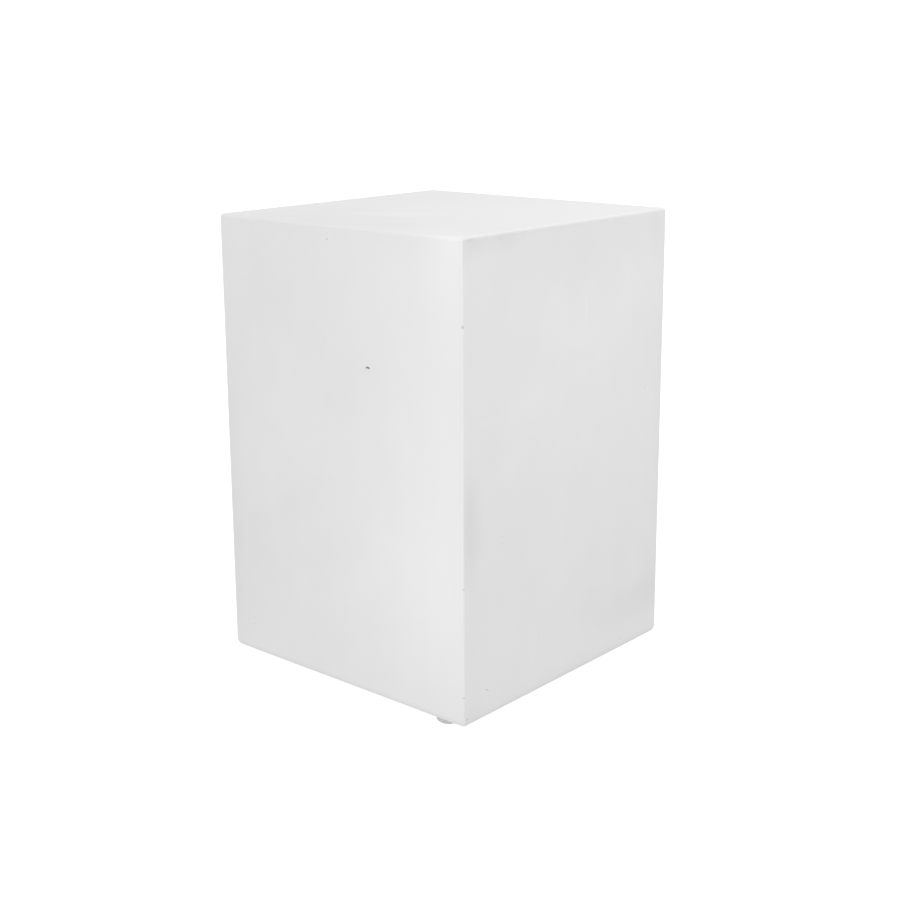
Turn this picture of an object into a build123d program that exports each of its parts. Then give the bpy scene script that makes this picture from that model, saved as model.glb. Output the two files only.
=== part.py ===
from build123d import *
import os

# White acrylic display plinth on four levelling feet. Millimetres, +Z up.
# Origin: the middle of the footprint, on the floor. The front faces -Y and the right side faces +X.

# Driving dimensions of the box
WIDTH = 350.0  # the plan is square
BODY_HEIGHT = 505.0
FLOOR_GAP = 8.0  # floor to the lower rim of the side panels
PANEL = 10.0  # sheet thickness
UPRIGHT_EDGE_RADIUS = 2.0
TOP_EDGE_RADIUS = 3.5
LOWER_RIM_RADIUS = 8.0

# Strips bonded inside the box
POST = 15.0  # square corner post and top rail
RAIL = 20.0  # square base rail, which the base plate is screwed to
FRONT_RAIL_LENGTH = 220.0  # leaves the corners free for the feet
SIDE_RAIL_LENGTH = 270.0

# Base plate, set up inside the lower rim
PLATE = 15.0
PLATE_RECESS = 6.0
PLATE_PLAY = 0.5  # round the edge of the plate

# M5 countersunk screws into brass inserts in the base rails
SCREW_RADIUS = 2.5
SCREW_HOLE_RADIUS = 2.75
SCREW_HEAD_RADIUS = 5.0
SCREW_LENGTH = 28.0
SCREW_SOCKET_FLATS = 3.0
SCREW_SOCKET_DEPTH = 2.0
RAIL_INSERT_RADIUS = 4.0
RAIL_INSERT_LENGTH = 14.0
FRONT_SCREW_SPREAD = 80.0  # screws in the front and back rails, from the middle
SIDE_SCREW_SPREAD = 90.0  # screws in the side rails, from the middle

# M8 levelling feet
FOOT_FROM_SIDE = 39.0  # foot axis to the outer face of the right or left panel
FOOT_FROM_FRONT = 21.0  # front right and back left: axis to the outer face of the nearest front or back panel
FOOT_FURTHER_IN = 14.0  # how much further in the other two stand
PAD_RADIUS = 13.0
PAD_LOW = 0.8  # the pad's underside; the sole stands this far out of it
PAD_RIM_RADIUS = 2.6
PAD_TOP_EDGE = 0.6
SOLE_RADIUS = 10.0
SOLE = 2.0
SOCKET_FLOOR = 3.2
STEM_RADIUS = 3.93
STEM_TOP = 46.0
SPIGOT_RADIUS = 4.0
BEAD_RADIUS = 4.45
BEAD_MIDDLE = 5.0
BEAD = 0.6
COLLAR_FLATS = 13.0
COLLAR = 4.0
TURNING_GAP = 0.08  # round whatever turns in a bore
END_GAP = 0.2  # above and below whatever turns
FLANGE_RADIUS = 9.0
FLANGE = 1.5
BARREL_RADIUS = 5.5

# Derived places
OUT = WIDTH / 2
IN = OUT - PANEL
TOP = FLOOR_GAP + BODY_HEIGHT
CEILING = TOP - PANEL
PLATE_LOW = FLOOR_GAP + PLATE_RECESS
PLATE_TOP = PLATE_LOW + PLATE
RAIL_MIDDLE = IN - RAIL / 2
RAIL_TOP = PLATE_TOP + RAIL
FOOT_X = OUT - FOOT_FROM_SIDE
FOOT_Y = OUT - FOOT_FROM_FRONT
PAD_TOP = FLOOR_GAP - END_GAP
FLANGE_LOW = PLATE_LOW - FLANGE
COLLAR_LOW = PAD_TOP + END_GAP

# A quarter turn about Z for each side of the box, and a sign pair for each corner
SIDES = {"front": 0, "right": 90, "back": 180, "left": 270}
CORNERS = {
    "front_left": (-1, -1),
    "front_right": (1, -1),
    "back_right": (1, 1),
    "back_left": (-1, 1),
}


def block(x, y, z):
    """A box between a low and a high value on each axis."""
    spans = (x, y, z)
    middle = [(low + high) / 2 for low, high in spans]
    size = [high - low for low, high in spans]
    return Pos(*middle) * Box(*size)


def rod(radius, low, high):
    """An upright cylinder on the Z axis."""
    return Pos(0, 0, (low + high) / 2) * Cylinder(radius, high - low)


def hexagon(flats, low, high):
    """An upright hexagonal prism on the Z axis, measured across its flats."""
    outline = RegularPolygon(flats / 2, 6, major_radius=False)
    return Pos(0, 0, low) * extrude(outline, high - low)


def turned(points):
    """A solid of revolution about Z from an outline of (radius, height) points."""
    outline = make_face(Polyline(*points, close=True))
    return revolve(Plane.XZ * outline, Axis.Z)


# The box: five panels, mitred where they meet
def side_outline():
    """The box seen from one side, with its eased top edges and rounded lower rim."""
    outline = Pos(0, FLOOR_GAP + BODY_HEIGHT / 2) * Rectangle(WIDTH, BODY_HEIGHT)
    outline = fillet(outline.vertices().group_by(Axis.Y)[-1], TOP_EDGE_RADIUS)
    return fillet(outline.vertices().group_by(Axis.Y)[0], LOWER_RIM_RADIUS)


def outer_form():
    """The outside of the box, solid all through."""
    plan = extrude(RectangleRounded(WIDTH, WIDTH, UPRIGHT_EDGE_RADIUS), TOP)
    from_front = extrude(Plane.XZ * side_outline(), WIDTH, both=True)
    from_side = extrude(Plane.YZ * side_outline(), WIDTH, both=True)
    return plan & from_front & from_side


def side_panel(form):
    """The front panel, mitred at both upright edges and at the top."""
    plan = make_face(Polyline((-OUT, -OUT), (OUT, -OUT), (IN, -IN), (-IN, -IN), close=True))
    section_points = [(-OUT, FLOOR_GAP), (-OUT, TOP), (-IN, CEILING), (-IN, FLOOR_GAP)]
    section = make_face(Polyline(*section_points, close=True))
    return form & extrude(plan, TOP) & extrude(Plane.YZ * section, OUT, both=True)


def top_panel(form):
    """The top panel, mitred on all four edges."""
    section = make_face(Polyline((-OUT, TOP), (OUT, TOP), (IN, CEILING), (-IN, CEILING), close=True))
    across = extrude(Plane.XZ * section, OUT, both=True)
    along = extrude(Plane.YZ * section, OUT, both=True)
    return form & across & along


# Strips inside the box
def corner_post(sign_x, sign_y):
    """A square strip up one inside corner, from the base plate to the top rails."""
    middle = IN - POST / 2
    centre = (sign_x * middle, sign_y * middle, (PLATE_TOP + CEILING - POST) / 2)
    return Pos(*centre) * Box(POST, POST, CEILING - POST - PLATE_TOP)


def top_rail(length):
    """A square strip under the top panel, along the front."""
    return block((-length / 2, length / 2), (-IN, -IN + POST), (CEILING - POST, CEILING))


def base_rail(length, screw_spread):
    """A square strip along the front, bored for two screw inserts."""
    rail = block((-length / 2, length / 2), (-IN, -IN + RAIL), (PLATE_TOP, RAIL_TOP))
    bore = rod(RAIL_INSERT_RADIUS, PLATE_TOP - 1, RAIL_TOP + 1)
    for side in (-1, 1):
        rail -= Pos(side * screw_spread, -RAIL_MIDDLE, 0) * bore
    return rail


# Base plate and its screws
def screw_places():
    """Where the eight base screws stand, two to each base rail."""
    places = [(x, y) for x in (-FRONT_SCREW_SPREAD, FRONT_SCREW_SPREAD) for y in (-RAIL_MIDDLE, RAIL_MIDDLE)]
    places += [(x, y) for x in (-RAIL_MIDDLE, RAIL_MIDDLE) for y in (-SIDE_SCREW_SPREAD, SIDE_SCREW_SPREAD)]
    return places


def foot_places():
    """Corner name to the place of its foot. Half a turn about Z leaves the pattern unchanged."""
    places = {}
    for name, (sign_x, sign_y) in CORNERS.items():
        inset = 0 if sign_x * sign_y < 0 else FOOT_FURTHER_IN
        places[name] = (sign_x * FOOT_X, sign_y * (FOOT_Y - inset))
    return places


def head_cone(tip_radius):
    """A countersunk head's cone, from the plate's underside up to the given radius."""
    depth = SCREW_HEAD_RADIUS - tip_radius
    cone = turned([(0, 0), (SCREW_HEAD_RADIUS, 0), (tip_radius, depth), (0, depth)])
    return Pos(0, 0, PLATE_LOW) * cone


def base_plate():
    """The plywood base, bored for the feet and countersunk for the screws."""
    half = IN - PLATE_PLAY
    plate = block((-half, half), (-half, half), (PLATE_LOW, PLATE_TOP))
    screw_hole = rod(SCREW_HOLE_RADIUS, PLATE_LOW - 1, PLATE_TOP + 1) + head_cone(SCREW_HOLE_RADIUS)
    foot_hole = rod(BARREL_RADIUS, PLATE_LOW - 1, PLATE_TOP + 1)
    for x, y in screw_places():
        plate -= Pos(x, y, 0) * screw_hole
    for x, y in foot_places().values():
        plate -= Pos(x, y, 0) * foot_hole
    return plate


def base_screw():
    """One countersunk socket screw, head down, on the Z axis."""
    screw = rod(SCREW_RADIUS, PLATE_LOW, PLATE_LOW + SCREW_LENGTH) + head_cone(SCREW_RADIUS)
    return screw - hexagon(SCREW_SOCKET_FLATS, PLATE_LOW - 1, PLATE_LOW + SCREW_SOCKET_DEPTH)


def rail_insert():
    """One brass insert in a base rail, on the Z axis."""
    shell = rod(RAIL_INSERT_RADIUS, PLATE_TOP, PLATE_TOP + RAIL_INSERT_LENGTH)
    return shell - rod(SCREW_RADIUS, PLATE_TOP - 1, PLATE_TOP + RAIL_INSERT_LENGTH + 1)


# Levelling foot, each piece on the Z axis
def foot_insert():
    """The flanged steel insert that the stem screws into."""
    shell = rod(FLANGE_RADIUS, FLANGE_LOW, PLATE_LOW) + rod(BARREL_RADIUS, PLATE_LOW, PLATE_TOP)
    return shell - rod(STEM_RADIUS + TURNING_GAP, FLANGE_LOW - 1, PLATE_TOP + 1)


def foot_stem():
    """The stem: a spigot with a snap bead, a hexagonal collar and the screw."""
    collar_top = COLLAR_LOW + COLLAR
    stem = rod(SPIGOT_RADIUS, SOCKET_FLOOR + END_GAP, COLLAR_LOW)
    stem += rod(BEAD_RADIUS, BEAD_MIDDLE - BEAD / 2, BEAD_MIDDLE + BEAD / 2)
    stem += hexagon(COLLAR_FLATS, COLLAR_LOW, collar_top)
    stem += rod(STEM_RADIUS, collar_top, STEM_TOP)
    return chamfer(stem.edges().group_by(Axis.Z)[-1], 1.0)


def foot_pad():
    """The nylon pad, rounded below, with a socket that the stem snaps into."""
    pad = rod(PAD_RADIUS, PAD_LOW, PAD_TOP)
    pad = fillet(pad.edges().group_by(Axis.Z)[0], PAD_RIM_RADIUS)
    pad = fillet(pad.edges().group_by(Axis.Z)[-1], PAD_TOP_EDGE)
    pad -= rod(SOLE_RADIUS, 0, SOLE)
    pad -= rod(SPIGOT_RADIUS + TURNING_GAP, SOCKET_FLOOR, PAD_TOP + 1)
    groove_low = BEAD_MIDDLE - BEAD / 2 - END_GAP
    groove_high = BEAD_MIDDLE + BEAD / 2 + END_GAP
    return pad - rod(BEAD_RADIUS + TURNING_GAP, groove_low, groove_high)


def foot_sole():
    """The rubber disc that stands on the floor."""
    return rod(SOLE_RADIUS, 0, SOLE)


def save(node, *solids):
    """Write one node as a STEP file of one or more separate solids."""
    shape = solids[0] if len(solids) == 1 else Compound(children=list(solids))
    export_step(shape, f"parts/{node}.step")


os.makedirs("parts", exist_ok=True)

form = outer_form()
save("top_panel", top_panel(form))
for name, turn in SIDES.items():
    save(f"{name}_panel", Rot(0, 0, turn) * side_panel(form))

for name, (sign_x, sign_y) in CORNERS.items():
    save(f"{name}_post", corner_post(sign_x, sign_y))

for name, turn in SIDES.items():
    faces_front = name in ("front", "back")
    rail_length = 2 * IN if faces_front else 2 * (IN - POST)
    save(f"{name}_top_rail", Rot(0, 0, turn) * top_rail(rail_length))
    if faces_front:
        strip = base_rail(FRONT_RAIL_LENGTH, FRONT_SCREW_SPREAD)
    else:
        strip = base_rail(SIDE_RAIL_LENGTH, SIDE_SCREW_SPREAD)
    save(f"{name}_base_rail", Rot(0, 0, turn) * strip)

save("base_plate", base_plate())
save("base_screws", *[Pos(x, y, 0) * base_screw() for x, y in screw_places()])
save("rail_inserts", *[Pos(x, y, 0) * rail_insert() for x, y in screw_places()])

for name, (x, y) in foot_places().items():
    place = Pos(x, y, 0)
    save(f"{name}_foot_insert", place * foot_insert())
    save(f"{name}_foot_stem", place * foot_stem())
    save(f"{name}_foot_pad", place * foot_pad())
    save(f"{name}_foot_sole", place * foot_sole())
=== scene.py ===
# %% [markdown]
# # A white display plinth
#
# Galleries stand small exhibits on a box like this one. Five sheets of satin white acrylic are mitred and
# cemented into a box, a plywood base is screwed up inside its lower rim, and four levelling feet carry it a
# finger's breadth off the floor.
#
# The engineering model is loaded first, as a fixed frame. It already has the right size and it knows what
# moves, so every piece below takes its place from it and is told which body it rides on.

# %% Load the frame
import math
import random

import bmesh
import bpy
from mathutils import Matrix, Vector


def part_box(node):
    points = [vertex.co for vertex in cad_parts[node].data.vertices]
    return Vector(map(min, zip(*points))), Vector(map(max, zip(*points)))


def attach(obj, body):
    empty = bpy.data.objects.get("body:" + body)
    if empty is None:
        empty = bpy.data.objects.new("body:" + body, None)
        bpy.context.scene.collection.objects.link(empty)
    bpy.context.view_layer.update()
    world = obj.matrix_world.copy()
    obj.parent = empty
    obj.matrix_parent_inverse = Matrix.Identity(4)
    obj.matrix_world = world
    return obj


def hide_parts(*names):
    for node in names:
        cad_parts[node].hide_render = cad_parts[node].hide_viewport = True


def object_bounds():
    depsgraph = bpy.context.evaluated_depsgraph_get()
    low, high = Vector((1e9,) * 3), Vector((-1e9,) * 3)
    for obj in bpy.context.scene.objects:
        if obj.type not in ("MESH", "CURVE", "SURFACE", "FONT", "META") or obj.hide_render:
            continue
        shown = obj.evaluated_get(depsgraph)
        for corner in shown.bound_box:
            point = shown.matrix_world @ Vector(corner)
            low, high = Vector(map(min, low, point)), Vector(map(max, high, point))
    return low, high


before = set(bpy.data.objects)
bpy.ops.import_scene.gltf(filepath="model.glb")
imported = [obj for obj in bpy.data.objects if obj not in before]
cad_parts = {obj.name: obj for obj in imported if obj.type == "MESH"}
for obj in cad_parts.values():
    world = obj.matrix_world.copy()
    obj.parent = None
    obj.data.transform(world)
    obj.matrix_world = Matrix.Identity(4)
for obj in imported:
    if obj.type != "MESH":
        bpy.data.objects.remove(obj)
cad_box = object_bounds()
MM = 0.001
CORNERS = ("front_left", "front_right", "back_right", "back_left")

# %% [markdown]
# ## Sizes
#
# The places come from the frame. Only what the frame doesn't say, such as the radius of a rounded edge, is
# a number here.

# %% Read the places of the box and its base
HALF = cad_box[1].x
TOP = cad_box[1].z
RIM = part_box("front_panel")[0].z
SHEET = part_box("front_panel")[1].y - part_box("front_panel")[0].y
INSIDE = HALF - SHEET
CEILING = TOP - SHEET
PLATE_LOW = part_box("base_plate")[0].z
UPRIGHT_RADIUS = 2.0 * MM
TOP_RADIUS = 3.5 * MM
RIM_RADIUS = 8.0 * MM
print(f"body {2 * HALF:.3f} m square, from {RIM:.3f} to {TOP:.3f} m, in sheet of {SHEET:.3f} m")

# %% [markdown]
# ## Helpers for meshes
#
# A few small helpers make most of the pieces. They turn a bmesh into an object, bake an object's modifiers
# into a plain mesh, shade it, and spin an outline round an upright axis, as a lathe does.


# %% Mesh helpers
def add_object(name, mesh):
    """Links a mesh to the scene as an object at the origin."""
    made = bpy.data.objects.new(name, mesh)
    bpy.context.scene.collection.objects.link(made)
    return made


def object_from(name, bm):
    """Turns a bmesh into an object whose faces point outwards."""
    bmesh.ops.recalc_face_normals(bm, faces=bm.faces)
    mesh = bpy.data.meshes.new(name)
    bm.to_mesh(mesh)
    bm.free()
    return add_object(name, mesh)


def bake(source):
    """Replaces an object's mesh with what its modifiers make of it, and drops the modifiers."""
    bpy.context.view_layer.update()
    shown = source.evaluated_get(bpy.context.evaluated_depsgraph_get())
    mesh = bpy.data.meshes.new_from_object(shown)
    source.modifiers.clear()
    source.data = mesh
    return source


def soften(made, degrees=35):
    """Shades an object smooth, except across edges sharper than the angle."""
    made.data.polygons.foreach_set("use_smooth", [True] * len(made.data.polygons))
    made.data.set_sharp_from_angle(angle=math.radians(degrees))
    weighted = made.modifiers.new("flat faces stay flat", "WEIGHTED_NORMAL")
    weighted.keep_sharp = True
    return bake(made)


def turned(bm, outline, steps=64):
    """Adds the solid that a closed outline of (radius, height) points sweeps round the Z axis."""
    rings = []
    for radius, height in outline:
        count = steps if radius > 0 else 1
        turns = [2 * math.pi * k / count for k in range(count)]
        rings.append([bm.verts.new((radius * math.cos(a), radius * math.sin(a), height)) for a in turns])
    for ring, after in zip(rings, rings[1:] + rings[:1]):
        for k in range(steps):
            corners = [ring[k % len(ring)], ring[(k + 1) % len(ring)]]
            corners += [after[(k + 1) % len(after)], after[k % len(after)]]
            corners = list(dict.fromkeys(corners))
            if len(corners) > 2:
                bm.faces.new(corners)


def quarter(radius, height, size, start, steps):
    """Points of a quarter arc round (radius, height), from the start angle in degrees."""
    angles = [math.radians(start + 90 * k / steps) for k in range(steps + 1)]
    return [(radius + size * math.cos(a), height + size * math.sin(a)) for a in angles]


print("mesh helpers ready")

# %% [markdown]
# ## The box: one block, sawn along its mitres
#
# On the bench each sheet is cut on a tilted saw, so that two bevels meet in every corner and no sheet's end
# shows. Here the order is turned round, because it gives seams that meet exactly: a solid block gets all
# the rounded edges first, and then saw planes cut each panel out of it. The Bevel modifier takes a weight
# from each edge, so one modifier rounds the upright edges a little, the top edges more and the lower rim
# most.


# %% Round the block
BEVEL_SEGMENTS = 10


def rounded_block():
    """The outside of the box as one solid, with three sizes of rounded edge."""
    bm = bmesh.new()
    bmesh.ops.create_cube(bm, size=1)
    size = Matrix.Diagonal((2 * HALF, 2 * HALF, TOP - RIM, 1))
    middle = (TOP + RIM) / 2
    bmesh.ops.transform(bm, matrix=Matrix.Translation((0, 0, middle)) @ size, verts=bm.verts)
    weight = bm.edges.layers.float.new("bevel_weight_edge")
    for edge in bm.edges:
        heights = [v.co.z - middle for v in edge.verts]
        if heights[0] * heights[1] < 0:
            radius = UPRIGHT_RADIUS
        elif heights[0] > 0:
            radius = TOP_RADIUS
        else:
            radius = RIM_RADIUS
        edge[weight] = radius / RIM_RADIUS
    block = object_from("rounded_block", bm)
    bevel = block.modifiers.new("rounded edges", "BEVEL")
    bevel.limit_method = "WEIGHT"
    bevel.width = RIM_RADIUS
    bevel.segments = BEVEL_SEGMENTS
    bevel.use_clamp_overlap = False
    return bake(block)


block = rounded_block()
print("block has", len(block.data.vertices), "corners")

# %% [markdown]
# Each saw plane is a point on it and a normal, and what lies on the normal's side falls away. The four
# sides have the same cuts, turned by a quarter each time. The top is cut flat underneath and at 45 degrees
# along its four edges.


# %% Saw the panels
ON_PLANE = 1e-7


def saw(bm, point, normal):
    """Cuts a solid along a plane, keeps what lies behind the plane and closes the cut."""
    everything = bm.verts[:] + bm.edges[:] + bm.faces[:]
    cut = bmesh.ops.bisect_plane(
        bm, geom=everything, dist=ON_PLANE, plane_co=point, plane_no=normal, clear_outer=True
    )
    rim = [e for e in cut["geom_cut"] if isinstance(e, bmesh.types.BMEdge)]
    bmesh.ops.edgeloop_fill(bm, edges=rim)


def panel_from_block(name, cuts, turn=0):
    """One panel: the block after each saw cut, with the cuts turned about Z."""
    spin = Matrix.Rotation(math.radians(turn), 4, "Z")
    bm = bmesh.new()
    bm.from_mesh(block.data)
    for point, normal in cuts:
        saw(bm, spin @ Vector(point), spin @ Vector(normal))
    return object_from(name, bm)


SIDE_CUTS = [
    ((0, -INSIDE, 0), (0, 1, 0)),
    ((0, 0, 0), (1, 1, 0)),
    ((0, 0, 0), (-1, 1, 0)),
    ((0, -INSIDE, CEILING), (0, 1, 1)),
]
TOP_CUTS = [((0, 0, CEILING), (0, 0, -1))]
TOP_CUTS += [((0, -INSIDE, CEILING), (0, -1, -1)), ((0, INSIDE, CEILING), (0, 1, -1))]
TOP_CUTS += [((-INSIDE, 0, CEILING), (-1, 0, -1)), ((INSIDE, 0, CEILING), (1, 0, -1))]
panels = {"top": panel_from_block("top_sheet", TOP_CUTS)}
for side, turn in {"front": 0, "right": 90, "back": 180, "left": 270}.items():
    panels[side] = panel_from_block(f"{side}_sheet", SIDE_CUTS, turn)
bpy.data.objects.remove(block)
print("panels:", {side: len(panel.data.polygons) for side, panel in panels.items()})

# %% [markdown]
# ## Knocks
#
# A plinth that goes from show to show gets knocked. The few deep knocks are cut into the sheet as real
# hollows, each a flattened, lumpy pebble taken away with a Boolean. The shallow marks are left to the
# finish of the sheet. A knock is a place and three half sizes in millimetres, and a tilt in degrees.

# %% Cut the knocks
KNOCK_SEED = 4
LUMPS = (0.88, 1.08)
KNOCKS = {
    "front": [((46.8, -175, 370.2), (2.4, 0.9, 1.0), -8), ((49, -175, 369.6), (1.3, 1.0, 1.1), 20)],
    "right": [((175, 66, 512.6), (0.7, 1.9, 0.7), 0)],
}


def pebble(bm, place, half_sizes, tilt, rng):
    """Adds a lumpy pebble, tilted in the plane of the face that it marks."""
    made = bmesh.ops.create_icosphere(bm, subdivisions=3, radius=1)
    for v in made["verts"]:
        v.co *= rng.uniform(*LUMPS)
    axis = "Y" if half_sizes[1] < half_sizes[0] else "X"
    size = Matrix.Diagonal((*[h * MM for h in half_sizes], 1))
    turn = Matrix.Rotation(math.radians(tilt), 4, axis)
    move = Matrix.Translation([p * MM for p in place])
    bmesh.ops.transform(bm, matrix=move @ turn @ size, verts=made["verts"])


def trim(made, cutter, operation="DIFFERENCE"):
    """Takes a cutter's solid out of a mesh, or keeps what lies in it, and removes the cutter."""
    boolean = made.modifiers.new("trim", "BOOLEAN")
    boolean.operation = operation
    boolean.solver = "EXACT"
    boolean.object = cutter
    bake(made)
    bpy.data.objects.remove(cutter)
    return made


def cut_knocks(panel, knocks, rng):
    """Takes the knocks of one panel out of its mesh, one at a time."""
    for place, half_sizes, tilt in knocks:
        bm = bmesh.new()
        pebble(bm, place, half_sizes, tilt, rng)
        trim(panel, object_from("pebble", bm))


knock_rng = random.Random(KNOCK_SEED)
for side, knocks in KNOCKS.items():
    cut_knocks(panels[side], knocks, knock_rng)
for side, panel in panels.items():
    soften(panel)
    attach(panel, "plinth")
    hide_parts(f"{side}_panel")
print("knocks cut:", sum(len(knocks) for knocks in KNOCKS.values()))

# %% [markdown]
# ## Geometry Nodes helpers
#
# Screws, threads and ribs repeat, so Geometry Nodes make them. A tree is described here in a few lines: its
# named inputs, its nodes and its links. A modifier's inputs are set by their identifiers, before anything
# is evaluated.


# %% Tree helpers
class Tree:
    """A Geometry Nodes tree with named inputs and one geometry output."""

    def __init__(self, name, **inputs):
        self.group = bpy.data.node_groups.new(name, "GeometryNodeTree")
        face = self.group.interface
        face.new_socket("Geometry", in_out="OUTPUT", socket_type="NodeSocketGeometry")
        face.new_socket("Geometry", in_out="INPUT", socket_type="NodeSocketGeometry")
        for label, kind in inputs.items():
            face.new_socket(label.replace("_", " "), in_out="INPUT", socket_type=f"NodeSocket{kind}")
        self.inputs = self.group.nodes.new("NodeGroupInput").outputs
        self.output = self.group.nodes.new("NodeGroupOutput").inputs[0]

    def add(self, kind, settings=None, output=0, **sockets):
        """Adds a node, sets it, fills or links its sockets and returns one output."""
        node = self.group.nodes.new(kind)
        for name, value in (settings or {}).items():
            setattr(node, name, value)
        for label, value in sockets.items():
            socket = node.inputs[label.replace("_", " ")]
            for one in value if isinstance(value, list) else [value]:
                if isinstance(one, bpy.types.NodeSocket):
                    self.group.links.new(one, socket)
                else:
                    socket.default_value = one
        return node.outputs[output]

    def calculate(self, operation, first, second):
        """One Math node on two numbers or sockets."""
        node = self.group.nodes.new("ShaderNodeMath")
        node.operation = operation
        for socket, value in zip(node.inputs, (first, second)):
            if isinstance(value, bpy.types.NodeSocket):
                self.group.links.new(value, socket)
            else:
                socket.default_value = value
        return node.outputs[0]

    def finish(self, geometry):
        """Realizes the geometry, gives it the material and sends it to the output."""
        real = self.add("GeometryNodeRealizeInstances", Geometry=geometry)
        done = self.add("GeometryNodeSetMaterial", Geometry=real, Material=self.inputs["Material"])
        self.group.links.new(done, self.output)

    def run(self, made, **values):
        """Puts the tree on an object with these input values and bakes the result."""
        modifier = made.modifiers.new(self.group.name, "NODES")
        modifier.node_group = self.group
        for item in self.group.interface.items_tree:
            key = item.name.replace(" ", "_")
            if item.in_out == "INPUT" and key in values:
                modifier[item.identifier] = values[key]
        return bake(made)


print("tree helpers ready")

# %% [markdown]
# ## Shader maths
#
# The finishes are formulas on the place of a point, so shader sockets are wrapped in a class on which
# ordinary sums work: each sum adds its Math node. Any other node comes from one method, which takes the
# settings first and then the values or links of the sockets.


# %% Shader helpers
class Value:
    """One output socket of a material, on which sums can be done."""

    def __init__(self, socket):
        self.socket = socket
        self.tree = socket.id_data

    def node(self, kind, settings=None, inputs=None, output=0):
        """Adds a node to the tree: settings first, then socket values or links."""
        made = self.tree.nodes.new(kind)
        for name, setting in (settings or {}).items():
            setattr(made, name, setting)
        for key, value in (inputs or {}).items():
            if isinstance(value, Value):
                self.tree.links.new(value.socket, made.inputs[key])
            else:
                made.inputs[key].default_value = value
        return Value(made.outputs[output])

    def math(self, operation, *operands):
        return self.node("ShaderNodeMath", {"operation": operation}, dict(enumerate(operands)))

    def __add__(self, other):
        return self.math("ADD", self, other)

    def __sub__(self, other):
        return self.math("SUBTRACT", self, other)

    def __rsub__(self, other):
        return self.math("SUBTRACT", other, self)

    def __mul__(self, other):
        return self.math("MULTIPLY", self, other)

    __radd__ = __add__
    __rmul__ = __mul__

    def size(self):
        return self.math("ABSOLUTE", self)

    def larger(self, other):
        return self.math("MAXIMUM", self, other)

    def ramp(self, start, end):
        """0 at start and 1 at end, smoothly, whichever of the two is larger."""
        inputs = {"Value": self, "From Min": start, "From Max": end}
        return self.node("ShaderNodeMapRange", {"interpolation_type": "SMOOTHSTEP"}, inputs)

    def axes(self):
        """The X, Y and Z of a vector."""
        split = self.node("ShaderNodeSeparateXYZ", inputs={0: self}).socket.node
        return [Value(socket) for socket in split.outputs]

    def placed(self, location=(0, 0, 0), turn=(0, 0, 0), scale=(1, 1, 1), kind="POINT"):
        """The same place in a moved, turned or stretched pattern."""
        inputs = {"Vector": self, "Location": location, "Rotation": turn, "Scale": scale}
        return self.node("ShaderNodeMapping", {"vector_type": kind}, inputs)

    def noise(self, scale, detail=2.0, roughness=0.5):
        """Cloudy noise that averages a half."""
        inputs = {"Vector": self, "Scale": scale, "Detail": detail, "Roughness": roughness}
        return self.node("ShaderNodeTexNoise", inputs=inputs)

    def tint(self, start, end):
        """A colour between two, by this value."""
        colours = {0: self, 6: (*start, 1), 7: (*end, 1)}
        return self.node("ShaderNodeMix", {"data_type": "RGBA"}, colours, output=2)

    def over(self, under, colour):
        """A colour laid over another colour, by this value."""
        colours = {0: self, 6: under, 7: (*colour, 1)}
        return self.node("ShaderNodeMix", {"data_type": "RGBA"}, colours, output=2)


class Finish:
    """A material with one Principled shader, and the place of a point on the piece."""

    def __init__(self, name, **constants):
        self.material = bpy.data.materials.new(name)
        self.material.use_nodes = True
        self.tree = self.material.node_tree
        self.shader = self.tree.nodes["Principled BSDF"]
        for label, value in constants.items():
            self.shader.inputs[label.replace("_", " ")].default_value = value
        self.place = Value(self.tree.nodes.new("ShaderNodeTexCoord").outputs["Object"])

    def set(self, label, value):
        self.tree.links.new(value.socket, self.shader.inputs[label])

    def bump(self, height, distance):
        """Raises the surface by height times distance, in metres."""
        inputs = {"Height": height, "Distance": distance, "Strength": 1.0}
        self.set("Normal", height.node("ShaderNodeBump", inputs=inputs))


print("shader helpers ready")
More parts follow.
